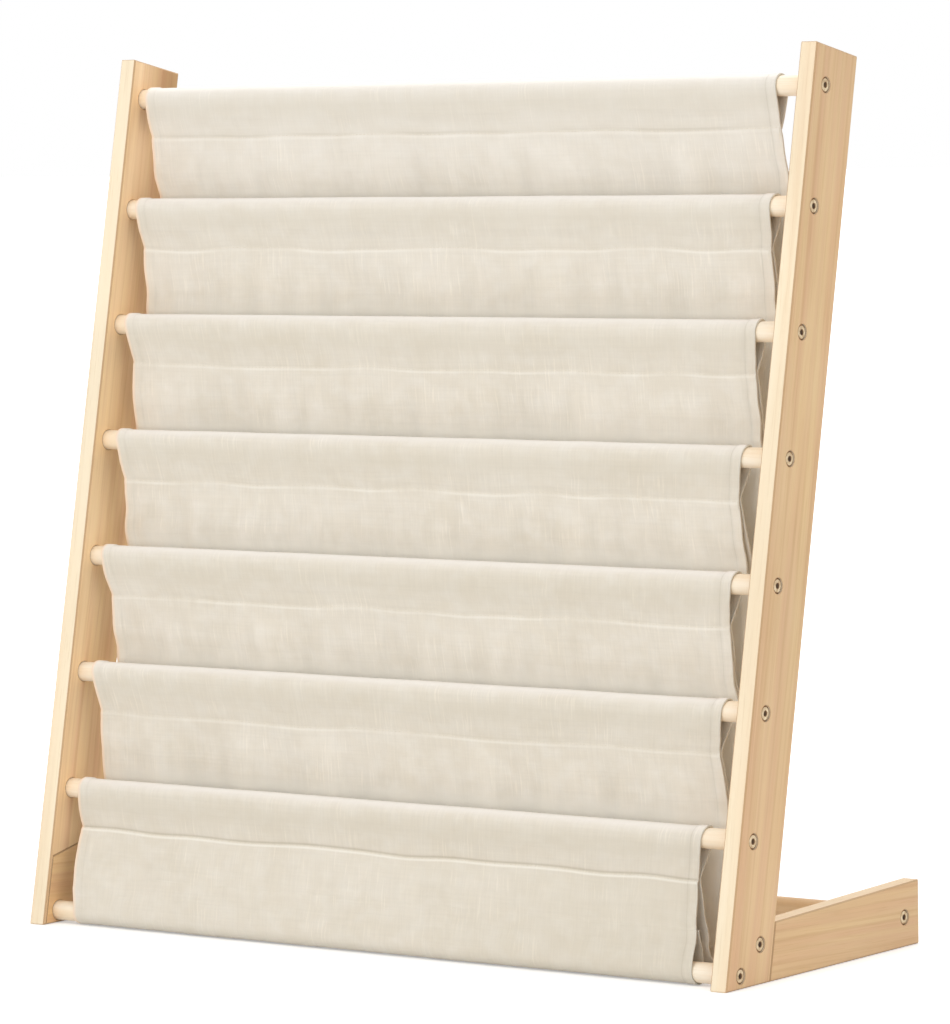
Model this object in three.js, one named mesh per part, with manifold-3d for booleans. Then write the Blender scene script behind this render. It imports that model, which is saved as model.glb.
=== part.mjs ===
// Sling bookshelf: two leaning posts on two feet, eight round rods between the posts,
// and one length of cloth that hangs over the rods in a row of pockets.
// Millimetres, +Z up, +X to the right, the front faces -Y, the floor is Z = 0.
import * as THREE from "three";
import { mergeVertices } from "three/addons/utils/BufferGeometryUtils.js";
import Module from "manifold-3d";

const wasm = await Module();
wasm.setup();

// Boards
const overallWidth = 680;
const overallDepth = 275;
const boardThickness = 15;
const postWidth = 58;
const topMargin = 30;
const leanDegrees = 11.3;
const footFrontHeight = 44.5;
const footBackHeight = 50.5;
const edgeChamfer = 1;

// Rods
const rodCount = 8;
const rodDiameter = 16;
const rodInset = 17.4;
const topPitch = 92.5;
const rodPitch = 96;
const bottomPitch = 100.5;
const socketDepth = 4;
const rearBarInset = 21.4;
const rearBarHeight = 23.2;

// Lap joint of post and foot
const lapWall = 2.6;
const lapFrontRise = 10.5;
const lapBackRise = 23.5;
const lapBoltDepthShare = 0.694;
const lapBoltHeightShare = 0.674;

// Screws
const headDiameter = 12;
const headThickness = 3;
const headChamfer = 0.6;
const headSink = 0.4;
const shankDiameter = 5;
const rodScrewBite = 26;
const lapScrewEnd = 2;
const keyWidth = 5;
const keyDepth = 1.8;
const keySides = 6;

// Cloth
const clothThickness = 1;
const clothInsetLeft = 11;
const clothInsetRight = 23;
const floorGap = 0.55;
const seamDrop = 31;
const seamHeight = 4;
const seamSetBack = 3;
const mouthOpening = 14;
const layerGap = 1.6;
const pocketBottomRise = 6.5;
const rippleHeight = 1.4;
const rippleWaves = 3;
const rippleFade = 40;

// Fits, cuts and facets
const clearance = 0.3;
const overrun = 2;
const roundSides = 20;
const holeSides = 12;
const wrapPoints = 16;
const clothColumns = 14;
const upperRows = 4;
const lowerRows = 3;
const turnRows = 6;

const lean = THREE.MathUtils.degToRad(leanDegrees);
const rodRadius = rodDiameter / 2;
const innerFaceX = overallWidth / 2 - boardThickness;
const sleeveRadius = rodRadius + clearance;
const wrapRadius = sleeveRadius + clothThickness;
const layerOffset = (clothThickness + clearance) / 2;

// The bottom rod's wrap clears the floor, and the other rods climb the posts from there.
const bottomRodAlong =
  (floorGap + wrapRadius + rodInset * Math.sin(lean)) / Math.cos(lean);
const rodAlong = [];
for (let rod = rodCount; rod >= 1; rod -= 1) {
  if (rod === rodCount) rodAlong[rod] = bottomRodAlong;
  else if (rod === rodCount - 1) rodAlong[rod] = rodAlong[rod + 1] + bottomPitch;
  else if (rod === 1) rodAlong[rod] = rodAlong[rod + 1] + topPitch;
  else rodAlong[rod] = rodAlong[rod + 1] + rodPitch;
}
const postLength = rodAlong[1] + topMargin;

const pale = { color: 0xe3c294, roughness: 0.55, metalness: 0 };
const rodPale = { color: 0xf0dcb8, roughness: 0.5, metalness: 0 };
const steel = { color: 0xb9ab90, roughness: 0.35, metalness: 0.9 };
const linen = { color: 0xded3c1, roughness: 0.95, metalness: 0 };

function toSolid(geometry) {
  const bare = new THREE.BufferGeometry();
  bare.setAttribute("position", geometry.getAttribute("position"));
  bare.setIndex(geometry.index);
  const merged = mergeVertices(bare, clearance / 1000);
  return new wasm.Manifold(
    new wasm.Mesh({
      numProp: 3,
      vertProperties: merged.attributes.position.array,
      triVerts: new Uint32Array(merged.index.array),
    }),
  );
}

function toGeometry(solid) {
  const mesh = solid.getMesh();
  const indexed = new THREE.BufferGeometry();
  indexed.setAttribute(
    "position",
    new THREE.BufferAttribute(new Float32Array(mesh.vertProperties), 3),
  );
  indexed.setIndex(new THREE.BufferAttribute(new Uint32Array(mesh.triVerts), 1));
  const flat = indexed.toNonIndexed();
  flat.computeVertexNormals();
  return flat;
}

function cut(geometry, cutters) {
  const left = cutters.reduce((rest, cutter) => rest.subtract(toSolid(cutter)), toSolid(geometry));
  return toGeometry(left);
}

function piece(name, geometry, look) {
  const mesh = new THREE.Mesh(geometry, new THREE.MeshStandardMaterial(look));
  mesh.name = name;
  return mesh;
}

// An outline of [y, z] points, extruded along X from one place to another.
const acrossX = new THREE.Matrix4().makeBasis(
  new THREE.Vector3(0, 1, 0),
  new THREE.Vector3(0, 0, 1),
  new THREE.Vector3(1, 0, 0),
);

function prism(outline, fromX, toX, chamfer = 0, holes = []) {
  const shape = new THREE.Shape(outline.map(([y, z]) => new THREE.Vector2(y, z)));
  shape.holes = holes.map(
    (hole) => new THREE.Path(hole.map(([y, z]) => new THREE.Vector2(y, z))),
  );
  const geometry = new THREE.ExtrudeGeometry(shape, {
    depth: toX - fromX - 2 * chamfer,
    bevelEnabled: chamfer > 0,
    bevelThickness: chamfer,
    bevelSize: chamfer,
    bevelOffset: -chamfer,
    bevelSegments: 1,
    steps: 1,
  });
  geometry.translate(0, 0, fromX + chamfer);
  return geometry.applyMatrix4(acrossX);
}

// A cylinder along X between two places, centred on [y, z].
function bar(diameter, fromX, toX, [y, z], sides) {
  const geometry = new THREE.CylinderGeometry(
    diameter / 2,
    diameter / 2,
    Math.abs(toX - fromX),
    sides,
  );
  geometry.rotateZ(Math.PI / 2);
  return geometry.translate((fromX + toX) / 2, y, z);
}

// A place on a leaning post is [deep, along] from its front bottom edge.
function onPost([y, z]) {
  return [
    y * Math.cos(lean) - z * Math.sin(lean),
    y * Math.sin(lean) + z * Math.cos(lean),
  ];
}

// The same place on the standing foot.
function offPost([deep, along]) {
  return [
    deep * Math.cos(lean) + along * Math.sin(lean),
    along * Math.cos(lean) - deep * Math.sin(lean),
  ];
}

// The back face of a post, or a line parallel to it, at a height above the floor.
function behindPost(deep, height) {
  return [deep / Math.cos(lean) + height * Math.tan(lean), height];
}

// The lap: a tongue on the foot's inner half fills a rebate in the post's inner half.
// It rises towards the back, and a thin wall of the post hides it from the front.
function lapOutline(spare) {
  const front = lapWall - spare;
  return [
    behindPost(front, 0),
    behindPost(postWidth, 0),
    behindPost(postWidth, footFrontHeight + lapBackRise + spare),
    behindPost(front, footFrontHeight + lapFrontRise + spare),
  ];
}

const lapBolt = behindPost(
  postWidth * lapBoltDepthShare,
  footFrontHeight * lapBoltHeightShare,
);
const bottomRod = offPost([rodInset, bottomRodAlong]);
const rearBar = [overallDepth - rearBarInset, rearBarHeight];

// A screw's way in from the outer face: the seat for its head and the hole for its shank.
function screwCuts(side, place) {
  const outerX = side * (overallWidth / 2);
  const seatX = outerX - side * (headThickness + headSink);
  const throughX = side * (innerFaceX - overrun);
  return [
    bar(headDiameter + 2 * clearance, seatX, outerX + side * overrun, place, roundSides),
    bar(shankDiameter + 2 * clearance, throughX, outerX, place, holeSides),
  ];
}

function rodSocket(side, place) {
  return bar(
    rodDiameter + 2 * clearance,
    side * (innerFaceX - overrun),
    side * (innerFaceX + socketDepth),
    place,
    roundSides,
  );
}

function postGeometry(side) {
  const board = prism(
    [
      [0, 0],
      [postWidth, postWidth * Math.tan(lean)],
      [postWidth, postLength],
      [0, postLength],
    ],
    side > 0 ? innerFaceX : -overallWidth / 2,
    side > 0 ? overallWidth / 2 : -innerFaceX,
    edgeChamfer,
  );
  const cutters = [];
  for (let rod = 1; rod <= rodCount; rod += 1) {
    const place = [rodInset, rodAlong[rod]];
    cutters.push(...screwCuts(side, place), rodSocket(side, place));
  }
  cutters.push(...screwCuts(side, onPost(lapBolt)));
  const [low, lowBack, highBack, high] = lapOutline(clearance);
  const rise = (highBack[1] - high[1]) / (highBack[0] - high[0]);
  const rebate = [
    [low[0] - overrun * Math.tan(lean), low[1] - overrun],
    [lowBack[0] + overrun, lowBack[1] - overrun],
    [highBack[0] + overrun, highBack[1] + overrun * rise],
    high,
  ].map(onPost);
  const laps = [
    side * (innerFaceX - overrun),
    side * (innerFaceX + (boardThickness + clearance) / 2),
  ].sort((a, b) => a - b);
  cutters.push(prism(rebate, ...laps));
  return cut(board, cutters);
}

function footGeometry(side) {
  const body = prism(
    [
      behindPost(postWidth + clearance, 0),
      [overallDepth, 0],
      [overallDepth, footBackHeight],
      behindPost(postWidth + clearance, footFrontHeight),
    ],
    side > 0 ? innerFaceX : -overallWidth / 2,
    side > 0 ? overallWidth / 2 : -innerFaceX,
    edgeChamfer,
  );
  const [low, lowBack, highBack, high] = lapOutline(0);
  const root = overrun + edgeChamfer;
  const shoulder = behindPost(postWidth, footFrontHeight - edgeChamfer);
  const tongue = prism(
    [
      low,
      [lowBack[0] + root, lowBack[1]],
      [shoulder[0] + root, shoulder[1]],
      shoulder,
      highBack,
      high,
    ],
    ...[
      side * innerFaceX,
      side * (innerFaceX + (boardThickness - clearance) / 2),
    ].sort((a, b) => a - b),
    edgeChamfer,
  );
  const joined = toGeometry(toSolid(body).add(toSolid(tongue)));
  const shankHole = (from, place) =>
    bar(shankDiameter + 2 * clearance, side * from, side * overallWidth, place, holeSides);
  return cut(joined, [
    shankHole(innerFaceX + lapScrewEnd - clearance, lapBolt),
    shankHole(innerFaceX, bottomRod),
    rodSocket(side, bottomRod),
    ...screwCuts(side, rearBar),
    rodSocket(side, rearBar),
  ]);
}

// A rod between the boards, with a hole in each end for its screw.
function rodGeometry(place) {
  const endX = innerFaceX + socketDepth - clearance;
  const holeX = endX - rodScrewBite;
  const holes = [-1, 1].map((side) =>
    bar(
      shankDiameter + 2 * clearance,
      side * holeX,
      side * (endX + overrun),
      place,
      holeSides,
    ),
  );
  return cut(bar(rodDiameter, -endX, endX, place, roundSides), holes);
}

// A screw along its own Y axis, with the top of its head at Y = 0.
function screwGeometry(shankLength) {
  const head = headDiameter / 2;
  const shank = shankDiameter / 2;
  const end = -headThickness - shankLength;
  const profile = [
    [0, end],
    [shank, end],
    [shank, -headThickness],
    [head, -headThickness],
    [head, -headChamfer],
    [head - headChamfer, 0],
    [0, 0],
  ].map(([radius, height]) => new THREE.Vector2(radius, height));
  const key = new THREE.CylinderGeometry(
    keyWidth / Math.sqrt(3),
    keyWidth / Math.sqrt(3),
    keyDepth + overrun,
    keySides,
  );
  key.translate(0, (overrun - keyDepth) / 2, 0);
  return cut(new THREE.LatheGeometry(profile, holeSides), [key]);
}

const rodScrew = screwGeometry(
  boardThickness - headSink - headThickness - socketDepth + rodScrewBite - clearance,
);
const lapScrew = screwGeometry(boardThickness - headSink - headThickness - lapScrewEnd);

function screw(name, geometry, side, [y, z]) {
  const mesh = piece(name, geometry, steel);
  mesh.position.set(side * (overallWidth / 2 - headSink), y, z);
  mesh.rotation.z = (-side * Math.PI) / 2;
  return mesh;
}

// The cloth is worked out in the posts' own leaning frame, as [deep, along] places.
const clothLeftX = -innerFaceX + clothInsetLeft;
const clothRightX = innerFaceX - clothInsetRight;
const plumb = [Math.sin(lean), -Math.cos(lean)];

// The gentle folds: how far the cloth stands out of its plane at a share of its width.
function ripple(tier, share) {
  const turn = 2 * Math.PI * rippleWaves * share + tier * tier;
  return (rippleHeight * (Math.sin(turn) + Math.sin(turn / 2 + tier))) / 2;
}

// The folds fade out towards the seam that the cloth hangs from.
function fade(tier, along) {
  const below = rodAlong[tier] - seamDrop - along;
  return THREE.MathUtils.smoothstep(below, 0, rippleFade);
}

// A thin closed strip of cloth whose middle follows rows of [deep, along] places.
function strip(rows, standOut) {
  const normals = rows.map((row, i) => {
    const before = rows[Math.max(i - 1, 0)];
    const after = rows[Math.min(i + 1, rows.length - 1)];
    const run = [after[0] - before[0], after[1] - before[1]];
    const size = Math.hypot(...run);
    return [-run[1] / size, run[0] / size];
  });
  const columns = clothColumns + 1;
  const positions = [];
  for (const face of [1, -1]) {
    rows.forEach((row, i) => {
      for (let column = 0; column < columns; column += 1) {
        const share = column / clothColumns;
        const out = standOut(i, share) + (face * clothThickness) / 2;
        positions.push(
          THREE.MathUtils.lerp(clothLeftX, clothRightX, share),
          row[0] + normals[i][0] * out,
          row[1] + normals[i][1] * out,
        );
      }
    });
  }
  const sheet = rows.length * columns;
  const at = (face, i, column) => face * sheet + i * columns + column;
  const index = [];
  const quad = (a, b, c, d) => index.push(a, c, b, a, d, c);
  for (let i = 0; i + 1 < rows.length; i += 1) {
    for (let column = 0; column < clothColumns; column += 1) {
      quad(at(0, i, column), at(0, i + 1, column), at(0, i + 1, column + 1), at(0, i, column + 1));
      quad(at(1, i, column), at(1, i, column + 1), at(1, i + 1, column + 1), at(1, i + 1, column));
    }
    quad(at(0, i, 0), at(1, i, 0), at(1, i + 1, 0), at(0, i + 1, 0));
    quad(
      at(0, i, clothColumns),
      at(0, i + 1, clothColumns),
      at(1, i + 1, clothColumns),
      at(1, i, clothColumns),
    );
  }
  const last = rows.length - 1;
  for (let column = 0; column < clothColumns; column += 1) {
    quad(at(0, 0, column), at(0, 0, column + 1), at(1, 0, column + 1), at(1, 0, column));
    quad(
      at(0, last, column),
      at(1, last, column),
      at(1, last, column + 1),
      at(0, last, column + 1),
    );
  }
  const geometry = new THREE.BufferGeometry();
  geometry.setAttribute("position", new THREE.Float32BufferAttribute(positions, 3));
  geometry.setIndex(index);
  geometry.computeVertexNormals();
  return geometry;
}

// Places in equal steps from one to another, the first left out when it is already there.
function steps(from, to, count, first = 0) {
  return Array.from({ length: count + 1 - first }, (_, i) => [
    THREE.MathUtils.lerp(from[0], to[0], (i + first) / count),
    THREE.MathUtils.lerp(from[1], to[1], (i + first) / count),
  ]);
}

// Where the cloth passes a rod's back, hangs to the turn, and comes back up in front.
function mouthPlace(rod) {
  return [rodInset + wrapRadius + mouthOpening + clothThickness / 2, rodAlong[rod]];
}

function seamPlace(rod, layer) {
  return [rodInset + seamSetBack + layer * layerOffset, rodAlong[rod] - seamDrop - clearance];
}

function panelDeep(tier, along) {
  const seam = seamPlace(tier, -1);
  const mouth = mouthPlace(tier + 1);
  return THREE.MathUtils.mapLinear(along, seam[1], mouth[1], seam[0], mouth[0]);
}

// The back of a pocket hangs plumb from its mouth.
function hangDeep(rod, along) {
  const mouth = mouthPlace(rod);
  return mouth[0] + (mouth[1] - along) * Math.tan(lean);
}

function pocketTurn(rod) {
  const bottom = rodAlong[rod + 1] + pocketBottomRise + clothThickness / 2;
  const wrapBack = rodInset + wrapRadius;
  const panelBack = rod + 1 < rodCount ? panelDeep(rod, bottom) : wrapBack;
  const front = Math.max(panelBack, wrapBack) + layerGap + clothThickness;
  const radius = (hangDeep(rod, bottom) - front) / (2 + Math.tan(lean));
  const along = bottom + radius;
  return { along, back: hangDeep(rod, along), front, radius, start: along + clothThickness };
}

// A panel hangs from its rod's seam, passes behind the next rod and drops plumb.
function panelGeometry(tier) {
  const seam = seamPlace(tier, -1);
  if (tier === rodCount - 1) {
    const hem = [rodInset + seamSetBack, rodAlong[rodCount] + seamDrop + clearance];
    const rows = steps(seam, hem, upperRows);
    const sway = (row) => 2 * fade(tier, row[1]) * (1 - fade(tier, row[1]));
    return strip(rows, (i, share) => sway(rows[i]) * ripple(tier, share));
  }
  const mouth = mouthPlace(tier + 1);
  const end = pocketTurn(tier + 1).start + clearance;
  const rows = [
    ...steps(seam, mouth, upperRows),
    ...steps(mouth, [hangDeep(tier + 1, end), end], lowerRows, 1),
  ];
  return strip(rows, (i, share) => fade(tier, rows[i][1]) * ripple(tier, share));
}

// A pocket's front: from the panel behind, round the turn, and up to the rod's seam.
function pocketGeometry(rod) {
  const turn = pocketTurn(rod);
  const middle = (turn.back + turn.front) / 2;
  const half = (turn.back - turn.front) / 2;
  const round = Array.from({ length: turnRows + 1 }, (_, i) => {
    const angle = (Math.PI * i) / turnRows;
    return [
      middle + half * Math.cos(angle),
      turn.along - turn.radius * Math.sin(angle),
    ];
  });
  const rows = [
    [hangDeep(rod, turn.start), turn.start],
    ...round,
    ...steps([turn.front, turn.along], seamPlace(rod, 1), upperRows, 1),
  ];
  // The strip runs down, round and up, so its outward side faces the back and then the front.
  return strip(rows, (i, share) => {
    const blend = THREE.MathUtils.clamp((i - 1) / turnRows, 0, 1);
    const behind = (1 - blend) * ripple(rod - 1, share);
    const before = -blend * fade(rod, rows[i][1]) * ripple(rod, share);
    return behind + before;
  });
}

// The angles, from straight ahead of a tip, at which a circle is met by its two tangents.
function tangentArc(radius, tip) {
  const towards = Math.atan2(tip[1], tip[0]);
  const spread = Math.acos(radius / Math.hypot(...tip));
  return { from: towards + spread, to: towards + 2 * Math.PI - spread };
}

function wrapOutline(centre, radius, firstTip, lastTip) {
  const start = tangentArc(radius, firstTip).from;
  const end = tangentArc(radius, lastTip).to;
  return Array.from({ length: wrapPoints }, (_, i) => {
    const angle = THREE.MathUtils.lerp(start, end, i / (wrapPoints - 1));
    return [centre[0] + radius * Math.cos(angle), centre[1] + radius * Math.sin(angle)];
  });
}

// A sleeve wraps its rod and closes in a stitched seam, below the rod or above the last one.
function sleeveGeometry(rod) {
  const way = rod === rodCount ? 1 : -1;
  const centre = [rodInset, rodAlong[rod]];
  const half = way < 0 ? clothThickness + clearance / 2 : clothThickness / 2;
  const firstTip = [seamSetBack - way * half, way * seamDrop];
  const lastTip = [seamSetBack + way * half, way * seamDrop];
  const innerTip = [seamSetBack, way * (seamDrop - seamHeight)];
  const outer = wrapOutline(centre, wrapRadius, firstTip, lastTip);
  const inner = wrapOutline(centre, sleeveRadius, innerTip, innerTip);
  const place = ([deep, along]) => [centre[0] + deep, centre[1] + along];
  return prism([...outer, place(lastTip), place(firstTip)], clothLeftX, clothRightX, 0, [
    [...inner, place(innerTip)],
  ]);
}

const leaning = new THREE.Group();
leaning.rotation.x = -lean;
const standing = new THREE.Group();

for (const [side, word] of [
  [-1, "left"],
  [1, "right"],
]) {
  leaning.add(piece(`post_${word}`, postGeometry(side), pale));
  standing.add(piece(`foot_${word}`, footGeometry(side), pale));
  for (let rod = 1; rod <= rodCount; rod += 1) {
    const place = [rodInset, rodAlong[rod]];
    leaning.add(screw(`rod_screw_${word}_${rod}`, rodScrew, side, place));
  }
  leaning.add(screw(`foot_screw_${word}`, lapScrew, side, onPost(lapBolt)));
  standing.add(screw(`rear_bar_screw_${word}`, rodScrew, side, rearBar));
}

for (let rod = 1; rod <= rodCount; rod += 1) {
  leaning.add(piece(`rod_${rod}`, rodGeometry([rodInset, rodAlong[rod]]), rodPale));
  leaning.add(piece(`cloth_sleeve_${rod}`, sleeveGeometry(rod), linen));
  if (rod < rodCount) leaning.add(piece(`cloth_panel_${rod}`, panelGeometry(rod), linen));
  if (rod > 1 && rod < rodCount)
    leaning.add(piece(`cloth_pocket_${rod}`, pocketGeometry(rod), linen));
}
standing.add(piece("rear_bar", rodGeometry(rearBar), rodPale));

const bookshelf = new THREE.Group();
bookshelf.add(leaning, standing);
for (const half of bookshelf.children) half.position.y = -overallDepth / 2;

export default bookshelf;
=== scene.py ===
"""The looks of a sling bookshelf: oiled pale wood boards and dowels, hex screws, and one length of linen
that runs over eight rods and hangs between them in six pockets. Metres; the front faces -Y."""
import math

import bpy
import numpy as np
from mathutils import Matrix, Vector


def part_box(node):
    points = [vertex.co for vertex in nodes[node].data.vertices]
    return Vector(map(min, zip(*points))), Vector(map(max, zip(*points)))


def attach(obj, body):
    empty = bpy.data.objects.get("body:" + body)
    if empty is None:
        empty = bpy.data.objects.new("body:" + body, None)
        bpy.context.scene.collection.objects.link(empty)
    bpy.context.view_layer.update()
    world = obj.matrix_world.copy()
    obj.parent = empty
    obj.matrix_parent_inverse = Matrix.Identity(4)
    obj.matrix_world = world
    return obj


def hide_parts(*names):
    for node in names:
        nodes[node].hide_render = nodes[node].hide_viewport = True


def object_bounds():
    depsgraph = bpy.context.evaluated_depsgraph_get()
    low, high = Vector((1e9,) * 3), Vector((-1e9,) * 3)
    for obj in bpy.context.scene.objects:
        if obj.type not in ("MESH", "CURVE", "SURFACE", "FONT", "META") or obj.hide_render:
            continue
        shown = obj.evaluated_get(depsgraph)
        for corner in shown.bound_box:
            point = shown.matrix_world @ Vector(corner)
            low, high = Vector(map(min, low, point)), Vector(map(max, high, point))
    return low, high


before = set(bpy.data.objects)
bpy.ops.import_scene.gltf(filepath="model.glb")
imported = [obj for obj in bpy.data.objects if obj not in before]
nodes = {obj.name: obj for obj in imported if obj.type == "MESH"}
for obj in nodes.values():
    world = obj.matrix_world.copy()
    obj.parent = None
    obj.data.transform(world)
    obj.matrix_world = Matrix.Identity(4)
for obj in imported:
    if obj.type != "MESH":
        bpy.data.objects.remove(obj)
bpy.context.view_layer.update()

MM = 0.001
SIDES = ((-1, "left"), (1, "right"))
# Tier n of the cloth is its sleeve round rod n and what hangs from it; the lowest rod has a sleeve alone
LOWEST_ROD = 8
LOWEST_PANEL = 7
RODS = range(1, LOWEST_ROD + 1)
PANELS = range(1, LOWEST_PANEL + 1)

# The cloth's section across the rods, in millimetres; the CAD's cloth is a little thicker than this one
CLOTH_THICKNESS = 0.8
CAD_CLOTH = 1.0
HEM_WIDTH = 9.0
HEM_EDGE = 0.9
HEM_EXTRA = 0.7
LOWEST_HEM_SHARE = 0.3
SLEEVE_RADIUS = 8.85
WRAP_RADIUS = 9.3
SEAM_DROP = 31.0
SEAM_SET_BACK = 4.5
LOWEST_SET_BACK = -2.9
LAYER_OFFSET = 0.65
MOUTH_OPENING = 14.0
LAYER_GAP = 1.6
POCKET_BOTTOM_RISE = 6.5
PANEL_FALL = 62.0
LOWEST_FALL = 38.5
# How far the cloth's ends stay from the boards: at each rod, at its seam, and where the next rod hides it
LEFT_ENDS = [
    (7.8, 8.5, 11.0),
    (8.8, 13.0, 12.0),
    (10.5, 14.5, 12.0),
    (13.5, 19.0, 13.0),
    (10.5, 17.5, 18.5),
    (14.5, 19.5, 15.5),
    (15.0, 12.0, 15.0),
    (24.5, 18.0, 18.0),
]
RIGHT_ENDS = [
    (25.0, 23.0, 18.0),
    (17.5, 21.5, 21.0),
    (20.5, 24.5, 22.0),
    (21.0, 29.0, 24.5),
    (19.5, 26.5, 22.0),
    (17.0, 24.0, 20.5),
    (23.5, 32.5, 27.0),
    (21.5, 26.0, 26.0),
]
# The path's points: their spacing in millimetres, its softening in points, and how many go round a bend
PATH_SPACING = 0.5
PATH_SOFTENING = 4.5
SLEEVE_POINTS = 60
TURN_POINTS = 24
# Rows of the cloth's grid: the bend between two in radians, the least and the most distance in millimetres,
# and the most distance within a reach of a seam
ROW_BEND = 0.16
ROW_GAPS = (1.4, 6.5)
SEAM_ROW_GAPS = ((14, 2.6), (7, 1.1))
# Its columns: millimetres from an end inwards, and how many lie between the two hems
END_COLUMNS = [0, 0.5, 1.2, 3.0, 6.0, HEM_WIDTH - HEM_EDGE, HEM_WIDTH, HEM_WIDTH + HEM_EDGE]
PLAIN_COLUMNS = 98

# Relief of the cloth, in millimetres; each ridge, groove and line is (place, width, height)
FOLDS_START = 30
WALL_FOLDS_END = (40, 60)
PUCKER_HEIGHT = 0.28
PUCKER_FADE = 7.0
SEAM_RIDGE = (0, 1.3, 0.75)
SEAM_GROOVE = (3.4, 1.7, -0.7)
PANEL_BELLY = 0.9
WALL_BELLY = 0.7
SLEEVE_BULGE = 0.45
BULGE_END = (9.5, 12.5)
SLEEVE_PUCKERS = 0.18
SLEEVE_RIDGE = (0, 1.6, 0.25)
LOWEST_SLEEVE_RIDGE = (0, 1.6, 0.45)
SEAM_PINCH = (0, 6.0, 0.8)
SEAM_DIP = (0, 14.0, 0.55)
# Lines of painted shade along the hems, not relief; their last number is how dark
LEFT_HEM_SHADE = (HEM_WIDTH, 0.9, 0.2)
RIGHT_HEM_SHADE = (HEM_WIDTH, 0.8, 0.5)
# Where round the rod a sleeve's painted highlight is palest, from its front upwards, and the painted shade
# in front below the rod
CROWN_HIGHLIGHT = (math.radians(55), math.radians(30))
PAINTED_SHADE_BELOW = (8.0, 8.0, 0.3)

# The simulated patches of free cloth, in millimetres
PATCH_COLUMNS = 104
PATCH_ROWS = 21
PATCH_HEIGHT = 130.0
PATCH_APART = 500
DRAPE_FRAMES = 36
DRAPE_GAIN = 1.35
DRAPE_LIMIT = 2.8

# Stitches, in millimetres: (share of the length, share of the radius) for each ring of a thread
STITCH_LENGTH = 3.0
STITCH_GAP = 0.9
STITCH_MARGIN = 2.5
STITCH_DROP = 1.0
THREAD_RADIUS = 0.24
LOOSE_RADIUS = 0.14
LOOSE_INSET = 1.2
THREAD_RINGS = [(0.0, 0.35), (0.14, 0.85), (0.5, 1.0), (0.86, 0.85), (1.0, 0.35)]
# How far the loose thread at a seam's right end goes aside and down
LOOSE_ENDS = {1: (0.6, -9.0), 2: (-0.8, -7.0), 4: (0.9, -6.0), 7: (-0.7, -12.0)}

# Screws: (depth below the top or None for the tip, radius, look, six-sided) for each ring, in millimetres
HEAD, RIM, KEY = 0, 1, 2
SCREW_SIDES = 36
SCREW_RINGS = [
    (None, 2.4, RIM, False),
    (3.0, 2.4, RIM, False),
    (3.0, 5.5, RIM, False),
    (2.6, 5.9, RIM, False),
    (0.9, 5.9, RIM, False),
    (0.60, 5.6, RIM, False),
    (0.30, 4.9, HEAD, False),
    (0.12, 4.2, HEAD, False),
    (0.05, 3.0, HEAD, False),
    (0.10, 2.5, HEAD, False),
    (0.35, 2.05, RIM, True),
    (1.75, 1.95, KEY, True),
    (2.1, 0.4, KEY, False),
]
KEY_SECTOR = math.pi / 6
KEY_TURN = 0.4
DOWEL_SIDES = 40
DOWEL_EASING = 0.8
DOWEL_RINGS = 24

# Half the side of the floor, in metres: its rim lies far beyond what the camera sees
FLOOR_HALF = 60.0

# The camera that the photograph was taken with
FOCAL_PIXELS = 5224.3
PICTURE = (950, 1024)
AXIS_PIXEL = (475.0, 560.0)
CAMERA_PLACE = (2.4486, -3.3400, 0.64016)
YAW, PITCH, ROLL = 0.6295, -0.0821, -0.0163
SENSOR = 36


def srgb(red, green, blue):
    """The linear colour of an sRGB one whose channels run to 255."""

    def linear(value):
        value /= 255
        return value / 12.92 if value <= 0.04045 else ((value + 0.055) / 1.055) ** 2.4

    return (linear(red), linear(green), linear(blue), 1.0)


# Tones of the wood, from dark to pale grain
FACE_TONES = (srgb(226, 185, 144), srgb(230, 194, 149), srgb(234, 202, 154))
# The narrow edges' tones: paler partly for their edge grain and partly as painted light from the front
EDGE_GRAIN_AND_LIGHT_TONES = (srgb(244, 221, 188), srgb(247, 229, 198), srgb(250, 235, 207))
DOWEL_TONES = (srgb(250, 230, 200), srgb(253, 238, 214), srgb(254, 244, 226))
# The rear dowel's tones: darker tan as painted shade, for the shade it lies in behind the shelf
REAR_DOWEL_SHADE_TONES = (srgb(214, 174, 128), srgb(224, 186, 142), srgb(232, 198, 156))
CHAMFER_TONE = srgb(190, 150, 106)
# Painted light and shade on a board's inner side, where the cloth shades it: what the face tones are
# multiplied by there in front (painted light), further back (less painted light), and there at its top
# (painted shade)
INNER_FRONT_PAINTED_LIGHT = (1.22, 1.28, 1.40, 1)
INNER_BACK_PAINTED_LIGHT = (1.13, 1.09, 1.04, 1)
INNER_TOP_PAINTED_SHADE = (0.70, 0.61, 0.52, 1)
# Where those parts start in the leaning frame, in metres, and over what length they come in
BACK_START, BACK_LENGTH = -0.124, 0.034
TOP_START, TOP_LENGTH = 0.552, 0.03
FOOT_GRAIN_TURN = (math.radians(92), 0, 0)

# Tones of the screws, from stained to clean
HEAD_TONES = (srgb(196, 166, 124), srgb(236, 216, 180))
# The rim's and the key's tones are dark as painted shade, of the gap round the head and of the hex socket
RIM_SHADE_TONES = (srgb(120, 84, 50), srgb(150, 110, 70))
KEY_SHADE_TONES = (srgb(70, 50, 32), srgb(104, 80, 54))

# Tones of the linen and what lies on it
LINEN_SHADE = srgb(225, 216, 200)
LINEN_BASE = srgb(230, 222, 208)
LINEN_LIGHT = srgb(235, 229, 218)
# Paler cloth near the top: painted light
HIGH_PAINTED_LIGHT_TONE = srgb(241, 237, 231)
# Painted highlight on the sleeves' crowns and painted shade in their hollows
CROWN_HIGHLIGHT_TONE = srgb(249, 243, 236)
HOLLOW_SHADE_TONE = srgb(205, 196, 176)
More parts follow.
